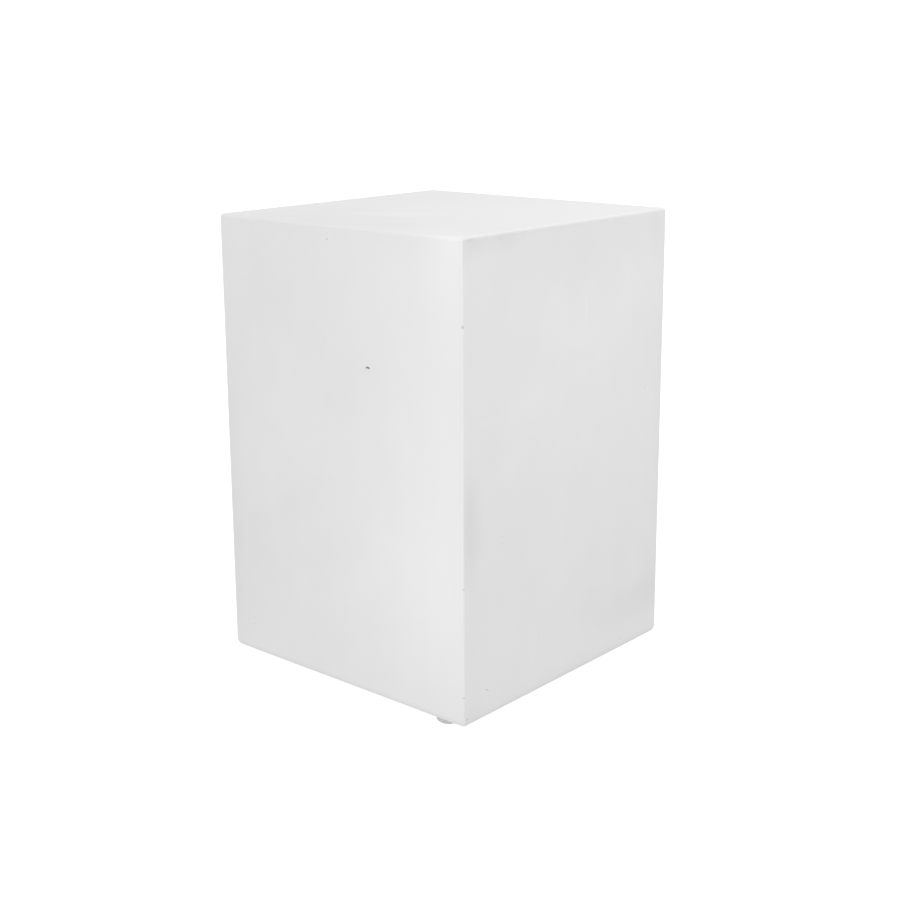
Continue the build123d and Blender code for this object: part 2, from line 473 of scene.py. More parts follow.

# %% [markdown]
# ## Satin white acrylic
#
# Opal acrylic sheet is cast with a faint cloudiness, and its satin face is etched, so it glows a little but
# never mirrors. Years of handling leave wipe marks, dust specks, hairlines and grey scuffs along the rim
# and the corners. The grey along the lower rim is partly grime and partly painted shade, and a thin lighter
# line at its very bottom is a painted highlight of light thrown up from the floor. All of it is low in
# contrast.
#
# A mark is a flat ellipsoid round its place on a face. A Mapping node carries a point into that ellipsoid's
# own frame, where the distance from the middle is under 1 inside the mark. Small marks have a crisp edge,
# and smudges fade out from the middle. Each row gives a place on the face, two half sizes, a tilt in
# degrees and how much it darkens. A smudge with a negative tone is a place that was wiped or rubbed
# lighter. Not every smudge is dirt: the long ones down the upright edges, the bands along the lower rim and
# the wide patch across the front of the top are painted shade.

# %% List the marks and the smudges, in millimetres
MARKS = {
    "front": [
        (46.8, 370.2, 2.5, 1.1, 8, 0.80),
        (43.2, 368.4, 2.4, 0.9, 35, 0.14),
        (-8, 498, 1.4, 0.9, 0, 0.24),
        (-142, 43, 1.5, 0.5, -15, 0.20),
        (-137, 42, 0.8, 0.4, 10, 0.22),
        (-165, 79, 0.9, 0.8, 0, 0.12),
        (-65, 95, 0.8, 0.8, 0, 0.10),
        (-13, 85, 1.2, 0.6, 20, 0.09),
        (-4, 15, 1.2, 0.5, 0, 0.16),
        (174, 427, 1.0, 2.0, 0, 0.22),
        (174, 160, 0.8, 1.0, 0, 0.18),
        (174, 43, 0.9, 1.0, 0, 0.20),
    ],
    "right": [
        (-174, 427, 1.0, 2.0, 0, 0.22),
        (-174, 160, 0.8, 1.0, 0, 0.18),
        (-174, 43, 0.9, 1.0, 0, 0.20),
        (-114, 201, 1.1, 0.6, 0, 0.14),
        (-138, 40, 3.0, 0.6, -33, 0.32),
        (-52, 76, 1.0, 0.8, 0, 0.12),
        (141, 314, 3.2, 0.6, 58, 0.20),
        (138, 67, 1.2, 0.7, 15, 0.14),
        (103, 22, 0.7, 1.8, 20, 0.18),
        (60, 49, 1.0, 0.7, 0, 0.12),
        (87, 27, 0.6, 1.4, -30, 0.13),
        (117, 13, 2.2, 0.8, 10, 0.20),
        (-82, 505, 1.4, 0.8, 0, 0.07),
        (-118, 507, 3.4, 1.2, 3, 0.04),
        (-163, 510, 7.0, 1.6, 3, 0.06),
        (-170, 18, 2.2, 1.4, 0, 0.17),
        (-164, 26, 0.7, 1.4, 0, 0.15),
    ],
    "back": [
        (-120, 455, 1.4, 0.7, 20, 0.20),
        (38, 262, 3.0, 0.5, -40, 0.14),
        (96, 88, 1.1, 0.9, 0, 0.16),
        (-60, 30, 2.4, 0.6, 12, 0.18),
        (150, 24, 1.0, 1.8, -15, 0.18),
        (-171, 300, 1.0, 1.6, 0, 0.20),
    ],
    "left": [
        (60, 395, 1.6, 0.9, -10, 0.18),
        (-88, 210, 1.0, 0.8, 0, 0.14),
        (-20, 52, 3.4, 0.6, 24, 0.20),
        (132, 34, 1.2, 1.4, 0, 0.18),
        (-150, 22, 1.8, 0.7, -20, 0.18),
        (174, 365, 0.9, 1.8, 0, 0.20),
    ],
    "top": [(29, 12, 2.2, 1.0, 30, 0.07)],
}
# Smudges, and painted shade: the long patches down the upright edges, the bands along the lower rim and the
# wide patch across the front of the top stand for shade, not dirt.
SMUDGES_AND_PAINTED_SHADE = {
    "front": [
        (-174, 230, 22, 250, 0, 0.040),
        (-150, 105, 80, 110, 0, 0.034),
        (-85, 195, 95, 22, -28, 0.014),
        (66, 278, 36, 36, 0, 0.010),
        (0, 331, 42, 42, 0, 0.012),
        (-80, 318, 22, 90, 0, -0.012),
        (-152, 370, 28, 90, 0, 0.016),
        (20, 130, 70, 26, -30, -0.010),
    ],
    "right": [
        (96, 66, 112, 36, -5, 0.034),
        (168, 80, 52, 64, 0, 0.032),
        (-166, 225, 24, 75, 0, 0.070),
        (-125, 510, 75, 20, 0, 0.045),
        (-60, 512, 150, 5, 0, 0.050),
        (-168, 505, 26, 28, 0, 0.040),
        (162, 492, 34, 44, 0, 0.035),
        (-165, 14, 30, 24, 0, 0.040),
        (174, 250, 18, 250, 0, 0.030),
        (0, 8, 190, 26, 0, 0.030),
        (-104, 269, 32, 24, 10, -0.022),
        (-76, 331, 50, 26, 8, -0.014),
        (27, 418, 2.6, 24, 0, -0.030),
        (-9, 408, 2.6, 15, 0, -0.014),
        (-135, 326, 24, 4, 0, -0.014),
        (24, 372, 44, 14, 0, 0.012),
        (20, 505, 190, 95, 0, 0.040),
    ],
    "back": [
        (-165, 200, 26, 160, 0, 0.040),
        (150, 70, 60, 60, 20, 0.035),
        (20, 12, 170, 26, 0, 0.025),
        (-40, 360, 60, 34, -15, -0.014),
        (90, 500, 70, 22, 0, 0.025),
    ],
    "left": [
        (165, 150, 28, 150, 0, 0.040),
        (-70, 90, 80, 26, 12, 0.030),
        (0, 12, 170, 26, 0, 0.025),
        (70, 320, 44, 30, 10, -0.014),
        (-120, 470, 50, 40, 0, 0.020),
    ],
    "top": [
        (-110, -60, 90, 60, 30, 0.012),
        (40, 70, 90, 50, -20, -0.008),
        (-20, -150, 200, 125, 0, 0.045),
    ],
}
NORMAL_AXIS = {"right": 0, "left": 0, "front": 1, "back": 1, "top": 2}
FACE_PLACE = {"front": -HALF / MM, "right": HALF / MM, "back": HALF / MM, "left": -HALF / MM}
FACE_PLACE["top"] = TOP / MM
MARK_DEPTH = 3.0
print("marks:", sum(map(len, MARKS.values())), "and smudges:", sum(map(len, SMUDGES_AND_PAINTED_SHADE.values())))

# %% [markdown]
# The finish starts from a grey of 1 and adds or takes away a little for each thing that changes it, and the
# sheet's white is multiplied by the result. Noise at several sizes gives the clouds, the grain and the wipe
# marks. Every face gets its own copy of the finish, with only its own marks in it, because one shader with
# the marks of all five would be too large to run.


# %% Mix the acrylic
MARK_EDGE = (1.25, 0.5)
SMUDGE_EDGE = (1.1, 0.05)
SPECK_CELL, SPECK_RADIUS, SPECK_SHARE = 48 * MM, 0.75 * MM, 0.22
CLOUD, BLOTCH, GRAIN, WIPE, HAIRLINE = 0.055, 0.030, 0.030, 0.014, 0.012
# The rim's darkening is part grime and part painted shade, and the lightening at its very bottom is a
# painted highlight.
SPECK, RIM_GRIME_AND_SHADE, GRUBBY_CORNER, PAINTED_FLOOR_HIGHLIGHT = 0.30, 0.045, 0.12, 0.10


def darkness_of(rows, face, place, wobble, edge, full):
    """How much a face's marks darken a place; a mark runs from its edge to its full strength."""
    axis = NORMAL_AXIS[face]
    total = 0
    for across, up, half_across, half_up, tilt, tone in rows:
        centre, half_sizes, turn = [across, up], [half_across, half_up], [0, 0, 0]
        centre.insert(axis, FACE_PLACE[face])
        half_sizes.insert(axis, MARK_DEPTH)
        turn[axis] = math.radians(tilt)
        centre = [c * MM for c in centre]
        own = place.placed(centre, turn, [h * MM for h in half_sizes], kind="TEXTURE")
        away = own.node("ShaderNodeVectorMath", {"operation": "LENGTH"}, {0: own}, output="Value")
        total = total + (away + wobble).ramp(edge, full) * tone
    return total


def specks_on(place, cell, radius, share):
    """Dust specks: one to a cell of that size, kept in a share of the cells."""
    spot = place.node("ShaderNodeTexVoronoi", inputs={"Vector": place, "Scale": 1 / cell})
    lot = Value(spot.socket.node.outputs["Color"]).axes()[0]
    return spot.ramp(radius / cell, 0.4 * radius / cell) * lot.ramp(1 - share, 1.0)


def hairlines_on(place, turn):
    """Fine scratches, long along one way and broken up by larger clouds."""
    stretched = place.placed(turn=turn, scale=(6, 6, 1400))
    lines = stretched.noise(1.0, detail=0.0).ramp(0.70, 0.78)
    return lines * place.noise(9.0).ramp(0.52, 0.62)


def acrylic(name, white, face=None):
    """Satin acrylic sheet: clouds, wipe marks, specks and hairlines, a rim darkened
    by grime and painted shade, and a painted highlight along its very bottom.
    """
    finish = Finish(name, IOR=1.49)
    place = finish.place
    x, y, z = place.axes()
    clouds = place.noise(7.0, detail=4.0) - 0.5
    flattened = place.placed(location=(0.3, 0.1, 0.2), turn=(0.5, 0.4, 0), scale=(1, 1, 0.6))
    blotches = flattened.noise(26.0, detail=3.0) - 0.5
    grain = place.noise(260.0, detail=3.0, roughness=0.7) - 0.5
    wipes = place.placed(turn=(0.12, 0.08, 0), scale=(38, 38, 2.4)).noise(1.0, detail=3.0) - 0.5
    specks = specks_on(place, SPECK_CELL, SPECK_RADIUS, SPECK_SHARE) * SPECK
    hairlines = hairlines_on(place, (0.5, 0.9, 0)) + hairlines_on(place, (1.9, -0.6, 0.4))
    edge_x = HALF - x.size()
    edge_y = HALF - y.size()
    near_rim = (z - RIM).ramp(11 * MM, 2 * MM)
    near_corner = edge_x.larger(edge_y).ramp(7 * MM, 1 * MM) * (z - RIM).ramp(45 * MM, 4 * MM)
    rub = place.noise(120.0, detail=3.0, roughness=0.65)
    # Darker along the lower rim: partly grime, partly painted shade where the rim turns under. The low
    # corners get real scuffs.
    grime_and_rim_shade = near_rim * (0.35 + rub * 0.65) * RIM_GRIME_AND_SHADE
    grime_and_rim_shade = grime_and_rim_shade + near_corner * rub.ramp(0.50, 0.72) * GRUBBY_CORNER
    # A thin lighter line at the very bottom of the rim: a painted highlight of light thrown up from the
    # floor.
    floor_highlight = (z - RIM).ramp(4.5 * MM, 1 * MM)
    dark = specks + grime_and_rim_shade - floor_highlight * PAINTED_FLOOR_HIGHLIGHT
    if face:
        dark = dark + darkness_of(MARKS[face], face, place, grain * 0.9, *MARK_EDGE)
    tone = 1 + clouds * CLOUD + blotches * BLOTCH + grain * GRAIN
    tone = tone + wipes * WIPE + hairlines * HAIRLINE - dark
    if face:
        # The smudges darken or lighten broad patches; those down the upright edges, along the rim and
        # across the front of the top are painted shade.
        tone = tone - darkness_of(SMUDGES_AND_PAINTED_SHADE[face], face, place, blotches * 0.5, *SMUDGE_EDGE)
    grey = place.node("ShaderNodeCombineXYZ", inputs={0: tone, 1: tone, 2: tone})
    tint = {0: grey, 1: white}
    finish.set("Base Color", place.node("ShaderNodeVectorMath", {"operation": "MULTIPLY"}, tint))
    finish.set("Roughness", 0.42 + clouds * 0.10 + wipes * 0.12 - hairlines * 0.06 + dark * 0.5)
    finish.bump(clouds * 6.0 + grain * 0.35 - hairlines * 0.2 - specks, 0.06 * MM)
    return finish.material


WHITE = (0.775, 0.775, 0.775)
SAWN_WHITE = (0.74, 0.74, 0.73)
strip_white = acrylic("sawn white acrylic", SAWN_WHITE)
panel_whites = {side: acrylic(f"satin white acrylic {side}", WHITE, side) for side in panels}
for side, panel in panels.items():
    panel.data.materials.clear()
    panel.data.materials.append(panel_whites[side])
print("nodes in each acrylic:", [len(m.node_tree.nodes) for m in panel_whites.values()])

# %% [markdown]
# ## Wood, metal, nylon and rubber
#
# The rest of the plinth hides underneath, and shows when it is tipped back to set the feet. Each finish is
# again a formula: long grain and pores for the birch face, a crystal mottle for zinc plate, moulding haze
# for the nylon.


# %% Mix the other finishes
def plywood():
    """The birch face of the base plate, with its grain along X."""
    finish = Finish("birch plywood")
    place = finish.place
    drift = place.noise(3.0, detail=2.0) - 0.5
    grain = place.placed(scale=(5, 46, 46)).noise(1.0, detail=5.0, roughness=0.6)
    pores = place.placed(scale=(70, 1500, 1500)).noise(1.0, detail=1.0).ramp(0.62, 0.75)
    figure = (grain + drift * 0.5).ramp(0.30, 0.72)
    colour = figure.tint((0.56, 0.39, 0.23), (0.76, 0.60, 0.41))
    finish.set("Base Color", (pores * 0.35).over(colour, (0.36, 0.22, 0.12)))
    finish.set("Roughness", 0.55 + grain * 0.2)
    finish.bump(grain * 0.6 - pores * 0.7, 0.08 * MM)
    return finish.material


def metal(name, dark, light, roughness):
    """Plated metal: a fine crystal mottle, turning marks and dull patches."""
    finish = Finish(name, Metallic=1.0)
    place = finish.place
    mottle = place.noise(900.0, detail=2.0)
    patches = place.noise(110.0, detail=3.0)
    turning = place.placed(scale=(60, 60, 4200)).noise(1.0, detail=0.0)
    finish.set("Base Color", (mottle * 0.5 + patches * 0.5).ramp(0.3, 0.7).tint(dark, light))
    finish.set("Roughness", roughness + patches * 0.22 + turning * 0.06)
    finish.bump(turning * 0.5 + mottle * 0.3, 0.01 * MM)
    return finish.material


def moulded(name, dark, light, roughness, relief):
    """Moulded nylon or rubber: haze, fine texture and a dusty lower edge."""
    finish = Finish(name)
    place = finish.place
    haze = place.noise(160.0, detail=3.0)
    texture = place.noise(2200.0, detail=1.0)
    dusty = place.axes()[2].ramp(3.5 * MM, 0.5 * MM) * haze.ramp(0.35, 0.7)
    colour = haze.ramp(0.3, 0.7).tint(dark, light)
    finish.set("Base Color", (dusty * 0.35).over(colour, (0.42, 0.40, 0.37)))
    finish.set("Roughness", roughness + haze * 0.2)
    finish.bump(texture * 0.6 + haze * 0.4, relief)
    return finish.material


birch = plywood()
zinc = metal("zinc-plated steel", (0.50, 0.51, 0.52), (0.74, 0.75, 0.75), 0.26)
brass = metal("brass", (0.62, 0.44, 0.18), (0.83, 0.64, 0.32), 0.24)
nylon = moulded("grey nylon", (0.55, 0.55, 0.55), (0.63, 0.63, 0.62), 0.42, 0.02 * MM)
rubber = moulded("black rubber", (0.018,) * 3, (0.035, 0.035, 0.034), 0.62, 0.05 * MM)
print("finishes:", [m.name for m in (strip_white, birch, zinc, brass, nylon, rubber)])

# %% [markdown]
# ## Screws and inserts, repeated on points
#
# Eight countersunk screws pull the base up against the rails. One screw is made by hand, and a tree sets a
# copy on each point of a small mesh of places, turned by a random angle with a fixed seed, because no one
# stops driving every screw at the same angle. The brass inserts above them use the same tree.
#
# The ribs round an insert repeat as well, evenly this time. The second tree makes as many points as there
# are ribs, all in the middle, and turns the copy on each point by its share of a whole turn.

# %% Grow the repeating tree
repeat = Tree("repeat on points", Part="Object", Seed="Int", Material="Material")
part = repeat.add("GeometryNodeObjectInfo", output="Geometry", Object=repeat.inputs["Part"])
angle = repeat.add(
    "FunctionNodeRandomValue", output=1, Min=0.0, Max=2 * math.pi, Seed=repeat.inputs["Seed"]
)
about_z = repeat.add("ShaderNodeCombineXYZ", Z=angle)
points = repeat.add("GeometryNodeMeshToPoints", Mesh=repeat.inputs["Geometry"])
copies = repeat.add("GeometryNodeInstanceOnPoints", Points=points, Instance=part, Rotation=about_z)
repeat.finish(copies)
print("repeat tree has", len(repeat.group.nodes), "nodes")

# %% Grow the rib tree
ribs = Tree("ribs round a sleeve", Rib="Object", Count="Int", Material="Material")
middles = ribs.add("GeometryNodePoints", Count=ribs.inputs["Count"])
share = ribs.calculate("DIVIDE", 2 * math.pi, ribs.inputs["Count"])
own_turn = ribs.calculate("MULTIPLY", ribs.add("GeometryNodeInputIndex"), share)
spun = ribs.add("ShaderNodeCombineXYZ", Z=own_turn)
one_rib = ribs.add("GeometryNodeObjectInfo", output="Geometry", Object=ribs.inputs["Rib"])
ring_of_ribs = ribs.add("GeometryNodeInstanceOnPoints", Points=middles, Instance=one_rib, Rotation=spun)
ribs.finish(ribs.add("GeometryNodeJoinGeometry", Geometry=[ribs.inputs["Geometry"], ring_of_ribs]))
print("rib tree has", len(ribs.group.nodes), "nodes")

# %% [markdown]
# A screw is a lathe outline with a cone trimmed out of its head to start the key, and a hexagonal socket.
# An insert is a sleeve with a triangular rib repeated round it, which is what grips the wood.


# %% Make one screw and one insert
SCREW_HEAD, SCREW_SHANK = 5.0 * MM, 2.5 * MM
SOCKET_FLATS, SOCKET_DEPTH = 3.0 * MM, 2.0 * MM
INSERT_RADIUS, INSERT_RIBS, INSERT_RIB = 3.7 * MM, 24, 0.3 * MM
SCREW_SEED, INSERT_SEED = 11, 5


def hexagon(bm, flats, low, high):
    """Adds an upright hexagonal bar."""
    radius = flats / math.sqrt(3)
    turns = [math.radians(60 * k) for k in range(6)]
    corners = [(radius * math.cos(a), radius * math.sin(a)) for a in turns]
    rings = [[bm.verts.new((x, y, height)) for x, y in corners] for height in (low, high)]
    for k in range(6):
        bm.faces.new([rings[0][k], rings[0][k - 5], rings[1][k - 5], rings[1][k]])
    bm.faces.new(rings[0])
    bm.faces.new(rings[1])


def screw():
    """A countersunk screw with a hexagonal socket, its head down at the origin."""
    head, shank = SCREW_HEAD, SCREW_SHANK
    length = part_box("base_screws")[1].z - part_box("base_screws")[0].z
    bm = bmesh.new()
    outline = [(0, 0), (head - 0.2 * MM, 0), (head, 0.2 * MM), (shank, head - shank)]
    outline += [(shank, length - 1.5 * MM), (shank - 1.2 * MM, length), (0, length)]
    turned(bm, outline, steps=48)
    body = object_from("screw", bm)
    lead_in = bmesh.new()
    turned(lead_in, [(0, -1 * MM), (2.6 * MM, -1 * MM), (1.4 * MM, 0.35 * MM), (0, 0.35 * MM)], steps=48)
    trim(body, object_from("lead_in", lead_in))
    socket = bmesh.new()
    hexagon(socket, SOCKET_FLATS, -1 * MM, SOCKET_DEPTH)
    return soften(trim(body, object_from("socket", socket)))


def rib(outer, low, high, size):
    """One triangular rib, on the +X side of a sleeve."""
    corners = [(outer - size, -size), (outer + size, 0), (outer - size, size)]
    bm = bmesh.new()
    ends = [[bm.verts.new((*corner, height)) for corner in corners] for height in (low, high)]
    for n in range(3):
        bm.faces.new([ends[0][n], ends[0][n - 2], ends[1][n - 2], ends[1][n]])
    bm.faces.new(ends[0])
    bm.faces.new(ends[1])
    return object_from("rib", bm)


def sleeve(bore, outer, low, high, count, size, material):
    """A metal sleeve with straight ribs round it, which stop short of its ends."""
    bm = bmesh.new()
    turned(bm, [(bore, low), (outer, low), (outer, high), (bore, high)], steps=48)
    one = rib(outer, low + MM, high - MM, size)
    made = ribs.run(object_from("sleeve", bm), Rib=one, Count=count, Material=material)
    bpy.data.objects.remove(one)
    return made


def knurled_insert():
    """A brass sleeve with ribs round it, standing on the origin."""
    low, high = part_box("rail_inserts")
    return soften(sleeve(SCREW_SHANK, INSERT_RADIUS, 0, high.z - low.z, INSERT_RIBS, INSERT_RIB, brass))


def screw_places():
    """The eight screw axes: the middle of each solid in the frame's group of screws."""
    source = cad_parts["base_screws"].data
    bm = bmesh.new()
    bm.from_mesh(source)
    bmesh.ops.remove_doubles(bm, verts=bm.verts, dist=1e-6)
    places, seen = [], set()
    for start in bm.verts:
        if start in seen:
            continue
        island, queue = [], [start]
        seen.add(start)
        while queue:
            vert = queue.pop()
            island.append(vert.co.copy())
            beside = [edge.other_vert(vert) for edge in vert.link_edges]
            fresh = [other for other in beside if other not in seen]
            seen.update(fresh)
            queue += fresh
        low = [min(p[k] for p in island) for k in range(2)]
        high = [max(p[k] for p in island) for k in range(2)]
        places.append(((low[0] + high[0]) / 2, (low[1] + high[1]) / 2))
    bm.free()
    return places


def repeated(name, part_made, height, seed, material, node):
    """Copies a part to every screw axis at one height, as one piece."""
    bm = bmesh.new()
    for x, y in axes_of_screws:
        bm.verts.new((x, y, height))
    mesh = bpy.data.meshes.new(name)
    bm.to_mesh(mesh)
    bm.free()
    made = repeat.run(add_object(name, mesh), Part=part_made, Seed=seed, Material=material)
    bpy.data.objects.remove(part_made)
    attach(made, "plinth")
    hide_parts(node)
    return made


axes_of_screws = screw_places()
screws = repeated("base_screw_set", screw(), PLATE_LOW, SCREW_SEED, zinc, "base_screws")
insert_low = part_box("rail_inserts")[0].z
inserts = repeated("insert_set", knurled_insert(), insert_low, INSERT_SEED, brass, "rail_inserts")
print(len(axes_of_screws), "screws of", len(screws.data.polygons) // len(axes_of_screws), "faces each")
print("inserts:", len(inserts.data.polygons), "faces together")

# %% [markdown]
# ## Levelling feet
#
# Each foot is a nylon pad with a rubber sole, snapped onto a threaded stem. The stem winds through a
# flanged insert in the base, so the thread is worth making as a real helix: when a foot is wound down its
# turns come into view and stay in step with the motion. A tree sweeps a small triangle along a spiral,
# round a stem that the lathe made.

# %% Grow the thread tree
POINTS_TO_A_TURN = 36
lengths = {"Pitch": "Float", "Turns": "Float", "Root": "Float", "Depth": "Float"}
thread = Tree("thread", **lengths, Start="Vector", Material="Material")
winding = {"Rotations": thread.inputs["Turns"], "Resolution": POINTS_TO_A_TURN, "Reverse": False}
winding["Height"] = thread.calculate("MULTIPLY", thread.inputs["Pitch"], thread.inputs["Turns"])
winding["Start_Radius"] = winding["End_Radius"] = thread.inputs["Root"]
spiral = thread.add("GeometryNodeCurveSpiral", **winding)
level = thread.add("GeometryNodeSetCurveNormal", {"mode": "Z_UP"}, Curve=spiral)
triangle = thread.add("GeometryNodeCurvePrimitiveCircle", Resolution=3, Radius=thread.inputs["Depth"])
ridge = thread.add("GeometryNodeCurveToMesh", Curve=level, Profile_Curve=triangle, Fill_Caps=True)
moved = thread.add("GeometryNodeTransform", Geometry=ridge, Translation=thread.inputs["Start"])
both = thread.add("GeometryNodeJoinGeometry", Geometry=[thread.inputs["Geometry"], moved])
thread.finish(both)
print("thread tree has", len(thread.group.nodes), "nodes")

# %% [markdown]
# Each stem has a spigot with a snap bead at its lower end, a hexagonal collar for a spanner, and a
# chamfered tip. The collar is a chamfered disc trimmed by a hexagonal bar, which gives the curved corners
# that a real nut has.

# %% Turn the stem
COLLAR = (8.0 * MM, 12.0 * MM)
COLLAR_FLATS = 13.0 * MM
COLLAR_SLOPE = 0.55
SPIGOT, BEAD, BEAD_PLACE = 4.0 * MM, 4.4 * MM, 5.0 * MM
STEM_ROOT = 3.5 * MM
THREAD_DEPTH = 0.42 * MM
PITCH = 1.25 * MM
TIP = 1.6 * MM  # the end of a stem that has no thread


def collar():
    """The hexagonal collar, chamfered as a nut is."""
    low, high = COLLAR
    corner = COLLAR_FLATS / math.sqrt(3)
    flat = COLLAR_FLATS / 2
    slope = (corner - flat) * COLLAR_SLOPE
    outline = [(0, low), (flat, low), (corner, low + slope)]
    outline += [(corner, high - slope), (flat, high), (0, high)]
    bm = bmesh.new()
    turned(bm, outline, steps=96)
    disc = object_from("collar", bm)
    bar = bmesh.new()
    hexagon(bar, COLLAR_FLATS, low - MM, high + MM)
    return trim(disc, object_from("bar", bar), "INTERSECT")


def stem_shape(low, high):
    """The stem without its thread: spigot, bead, collar, core and tip."""
    middle = BEAD_PLACE
    outline = [(0, low), (SPIGOT - 0.5 * MM, low), (SPIGOT, low + 0.5 * MM), (SPIGOT, middle - 0.5 * MM)]
    outline += [(BEAD, middle - 0.1 * MM), (BEAD, middle + 0.1 * MM), (SPIGOT, middle + 0.5 * MM)]
    outline += [(SPIGOT, COLLAR[0] + MM), (STEM_ROOT, COLLAR[0] + 2 * MM), (STEM_ROOT, high - MM)]
    outline += [(STEM_ROOT - 0.8 * MM, high), (0, high)]
    bm = bmesh.new()
    turned(bm, outline, steps=48)
    nut = collar()
    bm.from_mesh(nut.data)
    bpy.data.objects.remove(nut)
    return object_from("stem_shape", bm)


print("stem parts ready")

# %% [markdown]
# The pad, the sole and the insert are lathe outlines too. Every foot is made on the Z axis and then moved
# to its place in the mesh, so that its object stays at the origin. The stem gets its thread last, from the
# tree. The insert is fixed in the base and rides on the plinth, while the pad and the stem ride on bodies
# of their own.


# %% Place the feet
PAD_RADIUS, PAD_RIM, PAD_EDGE, MOULD_LINE = 13.0 * MM, 2.6 * MM, 0.6 * MM, 0.05 * MM
PAD_POCKET, PAD_SOCKET, SOCKET_FLOOR = 10.05 * MM, 4.6 * MM, 3.2 * MM
SOLE_RADIUS, SOLE_MIDDLE, GROOVES = 10.0 * MM, 1.6 * MM, 4
GROOVE_STEP, GROOVE_DEPTH = 2.0 * MM, 0.5 * MM
FLANGE_RADIUS, BARREL_RADIUS, BARREL_BORE = 9.0 * MM, 5.2 * MM, 4.05 * MM
BARREL_RIBS, BARREL_RIB = 18, 0.28 * MM
FOOT_SHARP = 30  # degrees, past which an edge of a foot stays crisp


def on_axis(name, bm, corner):
    """Moves a bmesh from the origin to a foot's axis and makes it an object."""
    low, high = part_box(f"{corner}_foot_pad")
    axis = Vector(((low.x + high.x) / 2, (low.y + high.y) / 2, 0))
    bmesh.ops.translate(bm, vec=axis, verts=bm.verts)
    return object_from(name, bm)


def pad(low, high, sole):
    """The nylon pad: a rounded rim, a mould line, a pocket for the sole and a socket."""
    side = PAD_RADIUS - MOULD_LINE
    line = (low + high) / 2 + 0.8 * MM
    outline = [(0, sole), (PAD_POCKET, sole), (PAD_POCKET, low)]
    outline += quarter(PAD_RADIUS - PAD_RIM, low + PAD_RIM, PAD_RIM - MOULD_LINE, -90, steps=8)
    outline += [(side, line - 0.12 * MM), (PAD_RADIUS, line), (side, line + 0.12 * MM)]
    outline += quarter(PAD_RADIUS - PAD_EDGE, high - PAD_EDGE, PAD_EDGE - MOULD_LINE, 0, steps=4)
    outline += [(PAD_SOCKET, high - MOULD_LINE), (PAD_SOCKET, SOCKET_FLOOR), (0, SOCKET_FLOOR)]
    bm = bmesh.new()
    turned(bm, outline, steps=96)
    return bm


def sole(low, high):
    """The rubber sole, with ring grooves underneath."""
    outline = [(0, low), (SOLE_MIDDLE, low)]
    for k in range(GROOVES):
        start = SOLE_MIDDLE + GROOVE_STEP * k
        outline += [(start + 0.3 * MM, low + GROOVE_DEPTH), (start + 0.8 * MM, low + GROOVE_DEPTH)]
        outline += [(start + 1.1 * MM, low), (start + 1.9 * MM, low)]
    outline += [(SOLE_RADIUS, low + 0.5 * MM), (SOLE_RADIUS, high), (0, high)]
    bm = bmesh.new()
    turned(bm, outline, steps=96)
    return bm


def flanged_insert(low, high):
    """The threaded insert of a foot: a rounded flange under the base and a ribbed barrel in it."""
    top = PLATE_LOW - 0.05 * MM
    start = PLATE_LOW - 0.2 * MM
    barrel = sleeve(BARREL_BORE, BARREL_RADIUS, start, high, BARREL_RIBS, BARREL_RIB, zinc)
    bm = bmesh.new()
    bm.from_mesh(barrel.data)
    bpy.data.objects.remove(barrel)
    ring = [(BARREL_BORE, low), (4.6 * MM, low), (FLANGE_RADIUS - 0.4 * MM, low)]
    ring += [(FLANGE_RADIUS, low + 0.4 * MM), (FLANGE_RADIUS, top), (BARREL_BORE, top)]
    turned(bm, ring, steps=96)
    return bm


def threaded_stem(corner):
    """The stem of one foot with its thread, on the foot's axis."""
    low, high = (c.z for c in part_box(f"{corner}_foot_stem"))
    shape = stem_shape(low, high)
    bm = bmesh.new()
    bm.from_mesh(shape.data)
    bpy.data.objects.remove(shape)
    stem = soften(on_axis(f"{corner}_stem_screw", bm, corner), FOOT_SHARP)
    middle = sum((Vector(c) for c in stem.bound_box), Vector()) / 8
    turns = (high - TIP - COLLAR[1]) / PITCH
    start = (middle.x, middle.y, COLLAR[1] + 0.1 * MM)
    values = {"Pitch": PITCH, "Turns": turns, "Root": STEM_ROOT, "Depth": THREAD_DEPTH, "Start": start}
    return thread.run(stem, **values, Material=zinc)


def foot_pieces(corner):
    """The four pieces of one foot."""
    piece = {}
    low, high = (c.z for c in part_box(f"{corner}_foot_pad"))
    sole_low, sole_high = (c.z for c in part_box(f"{corner}_foot_sole"))
    piece["pad"] = on_axis(f"{corner}_pad_body", pad(low, high, sole_high), corner)
    piece["sole"] = on_axis(f"{corner}_sole_disc", sole(sole_low, sole_high), corner)
    low, high = (c.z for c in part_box(f"{corner}_foot_insert"))
    piece["insert"] = on_axis(f"{corner}_insert_sleeve", flanged_insert(low, high), corner)
    piece = {kind: soften(made, FOOT_SHARP) for kind, made in piece.items()}
    piece["stem"] = threaded_stem(corner)
    return piece


finishes = {"pad": nylon, "sole": rubber, "insert": zinc, "stem": zinc}
for corner in CORNERS:
    rides = {"pad": f"{corner}_pad", "sole": f"{corner}_pad", "insert": "plinth", "stem": f"{corner}_stem"}
    feet = foot_pieces(corner)
    for kind, made in feet.items():
        made.data.materials.clear()
        made.data.materials.append(finishes[kind])
        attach(made, rides[kind])
        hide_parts(f"{corner}_foot_{kind}")
print("feet placed:", len(CORNERS), "with", len(feet["stem"].data.polygons), "faces in a stem")

# %% [markdown]
# ## Strips and base keep their engineering shapes
#
# The posts, the rails and the base plate are plain sawn pieces, so their engineering shapes are already
# right and only their finish changes.

# %% Finish the kept parts
kept = 0
for name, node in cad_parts.items():
    if name.endswith(("_post", "_rail")):
        finish = strip_white
    elif name == "base_plate":
        finish = birch
    else:
        continue
    node.data.materials.clear()
    node.data.materials.append(finish)
    kept += 1
print(kept, "engineering parts keep their shape")

